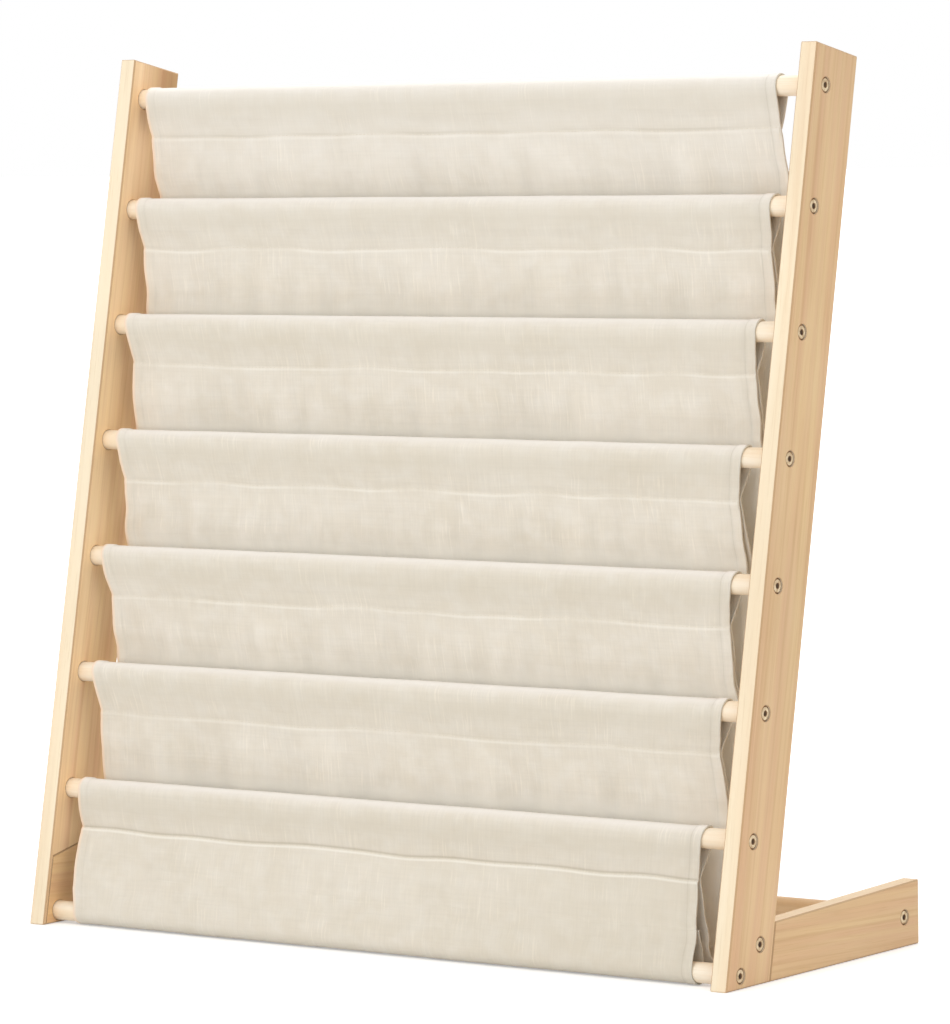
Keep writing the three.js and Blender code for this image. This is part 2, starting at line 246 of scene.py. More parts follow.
# Painted shade in the seams' grooves and along the hems, and painted highlight on the seams' ridges
SEAM_SHADE_TONE = srgb(164, 150, 126)
RIDGE_HIGHLIGHT_TONE = srgb(252, 248, 238)
# Painted light on the inside of the pockets, lifting the shade there
INSIDE_PAINTED_LIGHT_TONE = srgb(254, 250, 240)
LEFT_END_TONE = srgb(254, 226, 198)
# The cloth's right edge in painted shade
RIGHT_END_SHADE_TONE = srgb(214, 214, 204)
THREAD_TONES = (srgb(214, 205, 186), srgb(238, 230, 214))
YARN_SPACING = 0.00095
# How much painted shade each seam's groove takes and how much painted highlight its ridge
SEAM_SHADE_AND_HIGHLIGHT = {1: (0.45, 0.2), LOWEST_PANEL: (0.9, 0.9)}
OTHER_SEAM_SHADE_AND_HIGHLIGHT = (0.15, 0.42)


def middle(node):
    low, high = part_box(node)
    return (low + high) / 2


def step(value, start, end):
    """0 before the start, 1 past the end, and smooth between them."""
    share = np.clip((value - start) / (end - start), 0, 1)
    return share * share * (3 - 2 * share)


def bell(value, centre, width, height=1.0):
    """The height at the centre, and smoothly less to both sides."""
    return height * np.exp(-(((value - centre) / width) ** 2))


class Smooth:
    """A smooth random field: a sum of waves whose lengths lie between two limits along each axis."""

    def __init__(self, seed, shortest, longest, slant=0.15, waves=14):
        draw = np.random.default_rng(seed)
        size = np.exp(draw.uniform(np.log(shortest), np.log(longest), waves))
        tilt = draw.normal(0, slant, waves)
        self.across = 2 * np.pi / size
        self.down = self.across * tilt
        self.phase = draw.uniform(0, 2 * np.pi, waves)
        self.share = np.sqrt(size / longest)
        self.share /= np.sqrt((self.share**2).sum() / 2)

    def __call__(self, across, down):
        angle = (
            np.asarray(across)[..., None] * self.across
            + np.asarray(down)[..., None] * self.down
            + self.phase
        )
        return (np.sin(angle) * self.share).sum(-1)


def new_mesh(name, points, faces, material):
    """A smooth-shaded piece that rides on the part's one body."""
    mesh = bpy.data.meshes.new(name)
    mesh.from_pydata([tuple(p) for p in points], [], faces)
    mesh.polygons.foreach_set("use_smooth", [True] * len(mesh.polygons))
    mesh.update()
    thing = bpy.data.objects.new(name, mesh)
    bpy.context.scene.collection.objects.link(thing)
    mesh.materials.append(material)
    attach(thing, "root")
    return thing


def ring_points(x, centre, radii):
    """A ring round an axis along X, at a distance from the centre; radii holds one for each point."""
    angles = 2 * np.pi * np.arange(len(radii)) / len(radii)
    deep = centre[1] + radii * MM * np.cos(angles)
    high = centre[2] + radii * MM * np.sin(angles)
    return np.stack([np.full_like(deep, centre[0] + x * MM), deep, high], 1).tolist()


def closed_tube(rings, sides):
    """Faces of a closed tube whose points run ring by ring."""
    faces = []
    for ring in range(rings - 1):
        for number in range(sides):
            a, b = ring * sides + number, ring * sides + (number + 1) % sides
            faces.append((a, b, b + sides, a + sides))
    last = (rings - 1) * sides
    return faces + [tuple(range(sides))[::-1], tuple(range(last, last + sides))]


class Nodes:
    """Builds the nodes of a material or of the world."""

    def __init__(self, owner, shader="BSDF_PRINCIPLED"):
        owner.use_nodes = True
        self.owner = owner
        self.tree = owner.node_tree
        self.shader = next(n for n in self.tree.nodes if n.type == shader)

    def link(self, source, target):
        self.tree.links.new(source, target)

    def add(self, kind, **settings):
        node = self.tree.nodes.new(kind)
        for key, value in settings.items():
            setattr(node, key, value)
        return node

    def value(self, socket, value):
        if isinstance(value, bpy.types.NodeSocket):
            self.link(value, socket)
        else:
            socket.default_value = value

    def finish(self, sockets):
        """Fills the shader's sockets, each with a constant or with another node's output."""
        for name, value in sockets.items():
            self.value(self.shader.inputs[name], value)
        return self.owner

    def place(self):
        return self.add("ShaderNodeTexCoord").outputs["Object"]

    def attribute(self, name):
        return self.add("ShaderNodeAttribute", attribute_name=name).outputs

    def split(self, vector):
        node = self.add("ShaderNodeSeparateXYZ")
        self.link(vector, node.inputs[0])
        return node.outputs

    def math(self, kind, *values, clamp=False):
        node = self.add("ShaderNodeMath", operation=kind, use_clamp=clamp)
        for socket, value in zip(node.inputs, values):
            self.value(socket, value)
        return node.outputs[0]

    def vector_math(self, kind, *values):
        node = self.add("ShaderNodeVectorMath", operation=kind)
        for socket, value in zip(node.inputs, values):
            self.value(socket, value)
        return node.outputs

    def rise(self, value, start, length):
        """0 up to the start, then evenly to 1 over a length."""
        return self.math("MULTIPLY", self.math("SUBTRACT", value, start), 1 / length, clamp=True)

    def map_range(self, value, source, target, kind="LINEAR"):
        node = self.add("ShaderNodeMapRange", interpolation_type=kind)
        for name, number in zip(("From Min", "From Max", "To Min", "To Max"), (*source, *target)):
            node.inputs[name].default_value = number
        self.link(value, node.inputs["Value"])
        return node.outputs["Result"]

    def mix(self, factor, first, second, blend="MIX"):
        node = self.add("ShaderNodeMix", data_type="RGBA", blend_type=blend)
        self.value(node.inputs["Factor"], factor)
        self.value(node.inputs["A"], first)
        self.value(node.inputs["B"], second)
        return node.outputs["Result"]

    def times(self, colour, tone, factor=1.0):
        return self.mix(factor, colour, tone, "MULTIPLY")

    def tint(self, colour, mask, weight, tone):
        """The colour moved towards a tone, by a mask times a weight."""
        return self.mix(self.math("MULTIPLY", mask, weight, clamp=True), colour, tone)

    def ramp(self, factor, stops):
        """Colours or greys between stops of (place, colour or grey)."""
        node = self.add("ShaderNodeValToRGB")
        line = node.color_ramp
        while len(line.elements) < len(stops):
            line.elements.new(0.5)
        for element, (place, colour) in zip(line.elements, stops):
            element.position = place
            element.color = colour if hasattr(colour, "__len__") else (colour,) * 3 + (1,)
        self.link(factor, node.inputs["Fac"])
        return node.outputs["Color"]

    def grey(self, colour):
        node = self.add("ShaderNodeRGBToBW")
        self.link(colour, node.inputs[0])
        return node.outputs[0]

    def stretch(self, vector, scale, turn=(0, 0, 0)):
        node = self.add("ShaderNodeMapping")
        node.inputs["Scale"].default_value = scale
        node.inputs["Rotation"].default_value = turn
        self.link(vector, node.inputs["Vector"])
        return node.outputs["Vector"]

    def noise(self, vector, scale, detail=2.0, roughness=0.5):
        """Noise with so many lumps per metre along each axis."""
        node = self.add("ShaderNodeTexNoise")
        node.inputs["Scale"].default_value = 1.0
        node.inputs["Detail"].default_value = detail
        node.inputs["Roughness"].default_value = roughness
        self.link(self.stretch(vector, scale), node.inputs["Vector"])
        return node.outputs["Fac"]

    def bump(self, height, strength, distance, normal=None):
        node = self.add("ShaderNodeBump")
        node.inputs["Strength"].default_value = strength
        node.inputs["Distance"].default_value = distance
        self.link(height, node.inputs["Height"])
        if normal is not None:
            self.link(normal, node.inputs["Normal"])
        return node.outputs["Normal"]

    def near_edges(self, width, contrast=3.6):
        """More than 0 within a width of a sharp edge."""
        rounded = self.add("ShaderNodeBevel", samples=6)
        rounded.inputs["Radius"].default_value = width
        plain = self.add("ShaderNodeNewGeometry").outputs["True Normal"]
        same = self.vector_math("DOT_PRODUCT", rounded.outputs["Normal"], plain)["Value"]
        return self.math("MULTIPLY", self.math("SUBTRACT", 1.0, same), contrast, clamp=True)

    def seen_directly(self):
        """1 for the rays that show a surface, 0 for those that only carry its light to others."""
        path = self.add("ShaderNodeLightPath").outputs
        seen = self.math("MAXIMUM", path["Is Camera Ray"], path["Is Glossy Ray"])
        return self.math("MAXIMUM", seen, path["Is Transmission Ray"])


def board_wood(name, turn, shift, inward):
    """Flat-sawn pale wood whose grain runs along Z after a turn; the narrow edges are paler, partly for
    their edge grain and partly as painted light from the front.

    The shift gives each board its own grain, and inward is the side along X that faces the cloth; that side
    takes painted light in front and painted shade at its back near the top."""
    build = Nodes(bpy.data.materials.new(name))
    along = build.stretch(build.place(), (1, 1, 1), turn)
    moved = build.vector_math("ADD", along, shift)["Vector"]
    wander = build.noise(moved, (9, 9, 2.2), 1)
    grain = build.vector_math("MULTIPLY_ADD", wander, (0.014, 0.014, 0), moved)["Vector"]
    broad = build.noise(grain, (40, 75, 2.0), 2, 0.55)
    rings = build.noise(grain, (150, 230, 3.2), 3, 0.6)
    fine = build.noise(grain, (700, 1100, 22), 3, 0.65)
    flecks = build.noise(grain, (900, 1400, 90), 1)
    blotch = build.noise(grain, (14, 14, 5), 2)
    patch = build.noise(grain, (24, 24, 7), 2)
    streaks = build.ramp(rings, [(0.34, (0.90, 0.85, 0.79, 1)), (0.50, 1.0), (0.72, (1.03, 1.03, 1.02, 1))])
    patches = build.ramp(patch, [(0.36, (0.97, 0.93, 0.87, 1)), (0.62, (1.02, 1.02, 1.02, 1))])

    # The wide sides
    face = build.ramp(broad, list(zip((0.32, 0.5, 0.68), FACE_TONES)))
    face = build.times(face, streaks, 0.75)
    face = build.times(face, patches, 0.8)
    facing = build.split(build.add("ShaderNodeNewGeometry").outputs["Normal"])
    inner = build.math("GREATER_THAN", build.math("MULTIPLY", facing["X"], inward), 0.9)
    # On the inner side: painted light towards the front and painted shade at the back near the top
    leaning = build.split(along)
    back = build.rise(leaning["Y"], BACK_START, BACK_LENGTH)
    top = build.rise(leaning["Z"], TOP_START, TOP_LENGTH)
    inner_painted_light_and_shade = build.mix(back, INNER_FRONT_PAINTED_LIGHT, INNER_BACK_PAINTED_LIGHT)
    inner_painted_light_and_shade = build.mix(build.math("MULTIPLY", top, back), inner_painted_light_and_shade, INNER_TOP_PAINTED_SHADE)
    face = build.times(face, inner_painted_light_and_shade, inner)

    # The narrow sides, paler partly for their edge grain and partly as painted light, and the eased corners
    edge = build.ramp(broad, list(zip((0.34, 0.5, 0.66), EDGE_GRAIN_AND_LIGHT_TONES)))
    edge = build.times(edge, streaks, 0.25)
    edge = build.tint(edge, build.math("GREATER_THAN", facing["Z"], 0.98), 0.6, FACE_TONES[1])
    sideways = build.math("ABSOLUTE", facing["X"])
    colour = build.mix(build.math("GREATER_THAN", sideways, 0.9), edge, face)
    colour = build.tint(colour, build.math("COMPARE", sideways, 0.7071, 0.15), 0.85, CHAMFER_TONE)

    # Both
    colour = build.times(colour, build.ramp(blotch, [(0.3, 0.94), (0.7, 1.03)]))
    pores = build.ramp(fine, [(0.30, (0.90, 0.86, 0.80, 1)), (0.46, 1.0), (1.0, 1.0)])
    colour = build.times(colour, pores, 0.7)
    colour = build.mix(build.near_edges(0.0016), colour, CHAMFER_TONE)
    relief = build.math("ADD", build.math("MULTIPLY", fine, 0.6), build.math("MULTIPLY", flecks, 0.4))
    return build.finish(
        {
            "Base Color": colour,
            "Roughness": build.grey(build.ramp(fine, [(0.3, 0.52), (0.7, 0.42)])),
            "Normal": build.bump(relief, 0.25, 0.00025),
            "Specular IOR Level": 0.35,
        }
    )


def rod_wood(name, tones):
    """Turned dowels whose grain runs along X."""
    build = Nodes(bpy.data.materials.new(name))
    place = build.place()
    broad = build.noise(place, (2.5, 90, 90), 2)
    fine = build.noise(place, (26, 1100, 1100), 3, 0.65)
    blotch = build.noise(place, (9, 40, 40), 2)
    colour = build.ramp(broad, list(zip((0.3, 0.5, 0.7), tones)))
    colour = build.times(colour, build.ramp(fine, [(0.3, (0.90, 0.85, 0.78, 1)), (0.48, 1.0)]), 0.6)
    colour = build.times(colour, build.ramp(blotch, [(0.3, 0.96), (0.7, 1.02)]))
    return build.finish(
        {
            "Base Color": colour,
            "Roughness": build.grey(build.ramp(fine, [(0.3, 0.5), (0.7, 0.4)])),
            "Normal": build.bump(fine, 0.2, 0.0002),
            "Specular IOR Level": 0.35,
        }
    )


def linen(name, width):
    """Plain-woven linen. Its attributes say where each point lay on the flat cut, in metres, and how much
    painted light and shade it takes: at a seam or hem, on the sheet's inside, in creases and on a sleeve's
    crown."""
    build = Nodes(bpy.data.materials.new(name))
    flat = build.attribute("flat")["Vector"]
    flat_x, flat_y, _ = build.split(flat)
    seam_and_hem_light_and_shade, inside_painted_light, low_part = build.split(build.attribute("marks")["Vector"])
    crown_painted_light_and_shade = build.attribute("crown_painted_light_and_shade")["Fac"]
    wide = build.noise(flat, (14, 18, 1), 3)
    cloud = build.noise(flat, (55, 70, 1), 3, 0.55)
    warp_slub = build.noise(flat, (620, 34, 1))
    weft_slub = build.noise(flat, (16, 560, 1))
    warp_long = build.noise(flat, (240, 6, 1))
    weft_long = build.noise(flat, (4, 220, 1))
    thick = build.noise(flat, (620, 42, 1), 0)
    cluster = build.noise(flat, (17, 13, 1), 1)
    fuzz = build.noise(flat, (1500, 1500, 1), 2, 0.6)
    crease = build.noise(flat, (58, 15, 1), 1)

    # The cloth's own colour: broad patches, then yarns of uneven thickness; then painted shade and light of
    # soft creases
    colour = build.mix(build.ramp(wide, [(0.32, 0.0), (0.68, 1.0)]), LINEN_SHADE, LINEN_BASE)
    colour = build.tint(colour, build.grey(build.ramp(cloud, [(0.42, 0.0), (0.72, 1.0)])), 0.55, LINEN_LIGHT)
    for yarn, low, high, darkest, lightest in (
        (warp_slub, 0.34, 0.70, 0.980, 1.018),
        (weft_slub, 0.34, 0.70, 0.984, 1.010),
        (warp_long, 0.36, 0.66, 0.995, 1.004),
        (weft_long, 0.36, 0.66, 0.994, 1.004),
        (fuzz, 0.30, 0.70, 0.985, 1.012),
    ):
        colour = build.times(colour, build.ramp(yarn, [(low, darkest), (0.5, 1.0), (high, lightest)]))
    bunched = build.grey(build.ramp(cluster, [(0.46, 0.15), (0.62, 1.0)]))
    colour = build.times(colour, build.ramp(thick, [(0.62, 1.0), (0.74, 1.07)]), bunched)
    # Painted shade and light of soft creases on each panel's low part, a little paler on the whole
    creases = [(0.34, (0.975, 0.973, 0.968, 1)), (0.5, 1.01), (0.68, (1.04, 1.04, 1.045, 1))]
    colour = build.times(colour, build.ramp(crease, creases), low_part)

    # Painted light and shade: the sleeves' crowns highlighted and their hollows shaded, seams shaded and
    # highlighted, hems shaded, the inside lit, the cloth paler higher up; and the two ends, the right one in
    # painted shade
    # Painted light: the cloth is paler higher up
    high_up_painted_light = build.rise(build.split(build.place())["Z"], 0.5, 0.2)
    from_right = build.math("SUBTRACT", width, flat_x)
    near_left = build.math("SUBTRACT", 1.0, build.rise(flat_x, 0.0, 0.0035))
    # The right end's last millimetre takes painted shade
    near_right = build.math("SUBTRACT", 1.0, build.rise(from_right, 0.0, 0.0012))
    for mask, weight, tone in (
        (high_up_painted_light, 0.4, HIGH_PAINTED_LIGHT_TONE),
        (crown_painted_light_and_shade, 0.8, CROWN_HIGHLIGHT_TONE),
        (crown_painted_light_and_shade, -1.0, HOLLOW_SHADE_TONE),
        (seam_and_hem_light_and_shade, 0.5, SEAM_SHADE_TONE),
        (seam_and_hem_light_and_shade, -0.7, RIDGE_HIGHLIGHT_TONE),
        (inside_painted_light, 0.92, INSIDE_PAINTED_LIGHT_TONE),
        (near_left, 0.85, LEFT_END_TONE),
        (near_right, 0.7, RIGHT_END_SHADE_TONE),
    ):
        colour = build.tint(colour, mask, weight, tone)

    # Relief of the weave, over the soft creases
    threads = [
        build.math("SINE", build.math("MULTIPLY", axis, 2 * math.pi / YARN_SPACING))
        for axis in (flat_x, flat_y)
    ]
    relief = build.math("MULTIPLY", build.math("MULTIPLY", *threads), 0.5)
    for yarn, weight in ((warp_slub, 1.0), (weft_slub, 0.7), (fuzz, 0.6)):
        relief = build.math("ADD", relief, build.math("MULTIPLY", yarn, weight))
    soft_creases = build.bump(build.math("MULTIPLY", crease, low_part), 0.5, 0.0022)
    return build.finish(
        {
            "Base Color": colour,
            "Roughness": 0.92,
            "Specular IOR Level": 0.15,
            "Sheen Weight": 0.12,
            "Sheen Roughness": 0.5,
            "Normal": build.bump(relief, 0.28, 0.00022, soft_creases),
        }
    )


def thread_material():
    build = Nodes(bpy.data.materials.new("sewing_thread"))
    twist = build.noise(build.place(), (900, 900, 900), 2)
    return build.finish(
        {
            "Base Color": build.ramp(twist, list(zip((0.3, 0.7), THREAD_TONES))),
            "Roughness": 0.75,
            "Normal": build.bump(twist, 0.3, 0.0001),
        }
    )


def metal(name, tones, roughness, metallic):
    build = Nodes(bpy.data.materials.new(name))
    place = build.place()
    scratch = build.noise(place, (500, 900, 900), 3, 0.6)
    stain = build.noise(place, (300, 300, 300), 2)
    return build.finish(
        {
            "Base Color": build.ramp(stain, list(zip((0.35, 0.65), tones))),
            "Roughness": build.grey(build.ramp(scratch, [(0.3, roughness), (0.7, roughness + 0.14)])),
            "Metallic": metallic,
            "Normal": build.bump(scratch, 0.12, 0.00008),
        }
    )


# Where the rods are
axes = {rod: middle(f"rod_{rod}") for rod in RODS}
lean = math.atan2(axes[1].y - axes[LOWEST_ROD].y, axes[1].z - axes[LOWEST_ROD].z)
sin_lean, cos_lean = math.sin(lean), math.cos(lean)


def to_leaning(y, z):
    """Deep and along, in millimetres, of a place in the row frame."""
    return (y * cos_lean - z * sin_lean) / MM, (y * sin_lean + z * cos_lean) / MM


def from_leaning(deep, along):
    return (deep * cos_lean + along * sin_lean) * MM, (along * cos_lean - deep * sin_lean) * MM


rod_deep = to_leaning(axes[4].y, axes[4].z)[0]
rod_along = {rod: to_leaning(axes[rod].y, axes[rod].z)[1] for rod in RODS}
inner_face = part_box("post_right")[0].x / MM

# Boards
for number, (side, word) in enumerate(SIDES):
    post = board_wood(f"post_wood_{word}", (lean, 0, 0), (0.31 * number, 0.17, 0.43 + number), -side)
    foot_shift = (0.2 + number, 0.6, 0.1 + 0.3 * number)
    foot = board_wood(f"foot_wood_{word}", FOOT_GRAIN_TURN, foot_shift, -side)
    for node, material in ((f"post_{word}", post), (f"foot_{word}", foot)):
        nodes[node].data.materials.clear()
        nodes[node].data.materials.append(material)

# Dowels
pale_wood = rod_wood("dowel_wood", DOWEL_TONES)
# The rear dowel takes darker tones: painted shade
shaded_dowel_wood = rod_wood("rear_dowel_wood", REAR_DOWEL_SHADE_TONES)
for node in [f"rod_{rod}" for rod in RODS] + ["rear_bar"]:
    low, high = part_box(node)
    half = (high.x - low.x) / 2 / MM
    radius = (high.z - low.z) / 2 / MM
    plain = np.linspace(-half + DOWEL_EASING, half - DOWEL_EASING, DOWEL_RINGS)
    profile = [(-half, radius - DOWEL_EASING), *((x, radius) for x in plain), (half, radius - DOWEL_EASING)]
    points = []
    for x, ring_radius in profile:
        points += ring_points(x, middle(node), np.full(DOWEL_SIDES, ring_radius))
    rear = node == "rear_bar"
    name = "rear_dowel" if rear else node.replace("rod_", "dowel_")
    faces = closed_tube(len(profile), DOWEL_SIDES)
    dowel = new_mesh(name, points, faces, shaded_dowel_wood if rear else pale_wood)
    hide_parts(node)

# Screws
head_metal = metal("screw_head", HEAD_TONES, 0.4, 0.2)
# The rim and the key carry painted shade
rim_painted_shade = metal("screw_rim_painted_shade", RIM_SHADE_TONES, 0.6, 0.0)
key_painted_shade = metal("screw_key_painted_shade", KEY_SHADE_TONES, 0.5, 0.2)


def screw(node):
    """A domed round head with a turned rim and a hexagon key, on its plain shank."""
    low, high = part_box(node)
    centre = (low + high) / 2
    out = 1 if centre.x > 0 else -1
    half = (high.x - low.x) / 2 / MM
    angles = 2 * np.pi * np.arange(SCREW_SIDES) / SCREW_SIDES
    offset = (angles + KEY_TURN) % (2 * KEY_SECTOR) - KEY_SECTOR
    hexagon = math.cos(KEY_SECTOR) / np.cos(offset)
    points, looks = [], []
    for depth, radius, _, six_sided in SCREW_RINGS:
        height = half - (2 * half if depth is None else depth)
        radii = radius * (hexagon if six_sided else np.ones(SCREW_SIDES))
        points += ring_points(out * height, centre, radii)
    for (_, _, look, _), (_, _, next_look, _) in zip(SCREW_RINGS, SCREW_RINGS[1:]):
        looks += [next_look or look] * SCREW_SIDES
    looks += [RIM, KEY]
    faces = closed_tube(len(SCREW_RINGS), SCREW_SIDES)
    if out < 0:
        faces = [face[::-1] for face in faces]
    made = new_mesh(node.replace("screw", "bolt"), points, faces, head_metal)
    for material in (rim_painted_shade, key_painted_shade):
        made.data.materials.append(material)
    made.data.polygons.foreach_set("material_index", looks)
    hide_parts(node)


for node in sorted(nodes):
    if "_screw_" in node:
        screw(node)


# The cloth's path across the rods
def distance_run(line):
    return np.concatenate([[0], np.cumsum(np.linalg.norm(np.diff(line, axis=0), axis=1))])


def resample(line, spacing):
    line = np.array(line, float)
    run = distance_run(line)
    count = max(2, int(round(run[-1] / spacing)) + 1)
    at = np.linspace(0, run[-1], count)
    return np.stack([np.interp(at, run, line[:, 0]), np.interp(at, run, line[:, 1])], 1)


def smoothing(amount):
    """The reach and the weights of a running mean whose spread is an amount of points."""
    reach = int(3 * amount)
    weights = np.exp(-0.5 * (np.arange(-reach, reach + 1) / amount) ** 2)
    return reach, weights / weights.sum()


def soften(line, amount):
    """Rounds the corners of an evenly spaced line; amount is in points."""
    reach, weights = smoothing(amount)
    before, after = 2 * line[0] - line[reach:0:-1], 2 * line[-1] - line[-2 : -reach - 2 : -1]
    padded = np.concatenate([before, line, after])
    return np.stack([np.convolve(padded[:, axis], weights, "valid") for axis in (0, 1)], 1)


def wrap(rod, first, last):
    """Round a rod from one tip to another, with the rod always on the left."""
    centre = np.array([rod_deep, rod_along[rod]])
    angles = []
    for tip, turn in ((first, 1), (last, -1)):
        away = np.array(tip) - centre
        angles.append(math.atan2(away[1], away[0]) + turn * math.acos(SLEEVE_RADIUS / np.hypot(*away)))
    start, end = angles
    while end < start:
        end += 2 * math.pi
    turned = np.linspace(start, end, SLEEVE_POINTS)
    return [centre + SLEEVE_RADIUS * np.array([math.cos(angle), math.sin(angle)]) for angle in turned]


def seam(rod, layer):
    """Where a sleeve's two layers meet: below its rod, and above the lowest one."""
    way, set_back = (1, LOWEST_SET_BACK) if rod == LOWEST_ROD else (-1, SEAM_SET_BACK)
    return [rod_deep + set_back + layer * LAYER_OFFSET, rod_along[rod] + way * SEAM_DROP]


def mouth(rod):
    """Where the panel in front passes behind a rod."""
    return [rod_deep + WRAP_RADIUS + MOUTH_OPENING + CAD_CLOTH / 2, rod_along[rod]]


def hang(rod, along):
    """How deep a panel lies that hangs plumb from the mouth of a pocket."""
    place = mouth(rod)
    return place[0] + (place[1] - along) * math.tan(lean)


def turn_of(rod):
    """The turn at a pocket's bottom: its front and back, its height and its radius."""
    bottom = rod_along[rod + 1] + POCKET_BOTTOM_RISE + CAD_CLOTH / 2
    top, low = seam(rod, -1), mouth(rod + 1)
    behind = rod_deep + WRAP_RADIUS
    if rod < LOWEST_PANEL:
        share = (bottom - top[1]) / (low[1] - top[1])
        behind = max(behind, top[0] + share * (low[0] - top[0]))
    front = behind + LAYER_GAP + CAD_CLOTH
    radius = (hang(rod, bottom) - front) / (2 + math.tan(lean))
    along = bottom + radius
    return front, hang(rod, along), along, radius


def section():
    """The cloth's middle line in parts: (tier, kind, points) for each."""
    lines = []
    for rod in PANELS:
        first, last = seam(rod, 1), seam(rod, -1)
        lines.append((rod, "sleeve", [first, *wrap(rod, first, last), last]))
        if rod < LOWEST_PANEL:
            front, back, along, radius = turn_of(rod + 1)
            lines.append((rod, "panel", [last, mouth(rod + 1), [back, along]]))
            middle_of, half = (back + front) / 2, (back - front) / 2
            turned = np.linspace(0, math.pi, TURN_POINTS)
            bottom = [[middle_of + half * math.cos(a), along - radius * math.sin(a)] for a in turned]
            lines.append((rod + 1, "turn", bottom))
            lines.append((rod + 1, "wall", [[front, along], seam(rod + 1, 1)]))
        else:
            lines.append((rod, "panel", [last, seam(LOWEST_ROD, -1)]))
    first, last = seam(LOWEST_ROD, -1), seam(LOWEST_ROD, 1)
    lines.append((LOWEST_ROD, "sleeve", [first, *wrap(LOWEST_ROD, first, last), last]))
    return lines


pieces, tiers, kinds = [], [], []
for tier, kind, line in section():
    dense = resample(line, PATH_SPACING)
    if pieces:
        dense = dense[1:]
    pieces.append(dense)
    tiers += [tier] * len(dense)
    kinds += [kind] * len(dense)
line = soften(np.concatenate(pieces), PATH_SOFTENING)
tiers, kinds = np.array(tiers), np.array(kinds)
run = distance_run(line)
tangent = np.gradient(line, axis=0)
tangent /= np.linalg.norm(tangent, axis=1)[:, None]
seam_along = {rod: seam(rod, 0)[1] for rod in RODS}

# The rows of the cloth's grid, closer where the path bends and at the seams
curve = np.abs(np.gradient(np.unwrap(np.arctan2(tangent[:, 1], tangent[:, 0])))) / PATH_SPACING
near_seam = np.min([np.abs(line[:, 1] - seam_along[rod]) for rod in RODS], axis=0)
gap = np.clip(ROW_BEND / np.maximum(curve, 1e-4), *ROW_GAPS)
for reach, widest in SEAM_ROW_GAPS:
    gap = np.where(near_seam < reach, np.minimum(gap, widest), gap)
rows = [0]
for i in range(1, len(run)):
    if run[i] - run[rows[-1]] >= gap[i]:
        rows.append(i)
if rows[-1] != len(run) - 1:
    rows.append(len(run) - 1)
line, tangent, run, tiers, kinds = (values[rows] for values in (line, tangent, run, tiers, kinds))
normal = np.stack([-tangent[:, 1], tangent[:, 0]], 1)
drop = np.array([abs(seam_along[tier] - along) for tier, along in zip(tiers, line[:, 1])])
cloth_length = float(run[-1])
cloth_width = float(2 * inner_face - np.mean(LEFT_ENDS) - np.mean(RIGHT_ENDS))


def rows_of(tier, kind):
    return (tiers == tier) & (kinds == kind)


def soften_rows(values, amount):
    """Smooths one value for each row, over an amount in millimetres along the cloth."""
    even = np.arange(0, cloth_length, 1.0)
    reach, weights = smoothing(amount)
    padded = np.pad(np.interp(even, run, values), reach, "edge")
    return np.interp(run, even, np.convolve(padded, weights, "valid"))


def end_insets(table):
    """The inset of the cloth's end at each row, softened along the cloth."""
    stops = []
    for rod in RODS:
        sleeve = run[rows_of(rod, "sleeve")]
        at_rod, at_seam, low = table[rod - 1]
        stops += [(sleeve.min(), at_seam), (sleeve.mean(), at_rod), (sleeve.max(), at_seam)]
        if rod < LOWEST_PANEL:
            panel = rows_of(rod, "panel")
            hidden = np.abs(line[panel, 1] - rod_along[rod + 1]).argmin()
            stops += [(run[panel][hidden], low), (run[rows_of(rod + 1, "turn")].mean(), low)]
    return soften_rows(np.interp(run, *np.array(stops).T), 6.0)


left_inset, right_inset = end_insets(LEFT_ENDS), end_insets(RIGHT_ENDS)

# The columns of the cloth's grid, as shares of its width, and where they lie on the flat cut
end_shares = np.array(END_COLUMNS) / cloth_width
plain_shares = np.linspace(end_shares[-1], 1 - end_shares[-1], PLAIN_COLUMNS + 2)[1:-1]
shares = np.concatenate([end_shares, plain_shares, 1 - end_shares[::-1]])
across = shares * cloth_width
from_end = np.minimum(shares, 1 - shares) * cloth_width
hem = 1 - step(from_end, HEM_WIDTH - HEM_EDGE, HEM_WIDTH + HEM_EDGE)

# Random fields for each tier, and for the wavy ends
folds = {tier: Smooth(100 + tier, 70, 260) for tier in RODS}
creases = {tier: Smooth(200 + tier, 22, 60, 0.25) for tier in RODS}
puckers = {tier: Smooth(300 + tier, 7, 16, 0.05) for tier in RODS}
waves = {tier: Smooth(400 + tier, 60, 240) for tier in RODS}
end_waves = [Smooth(500 + side, 25, 90, 0.0)(run, 0.0) for side in (0, 1)]


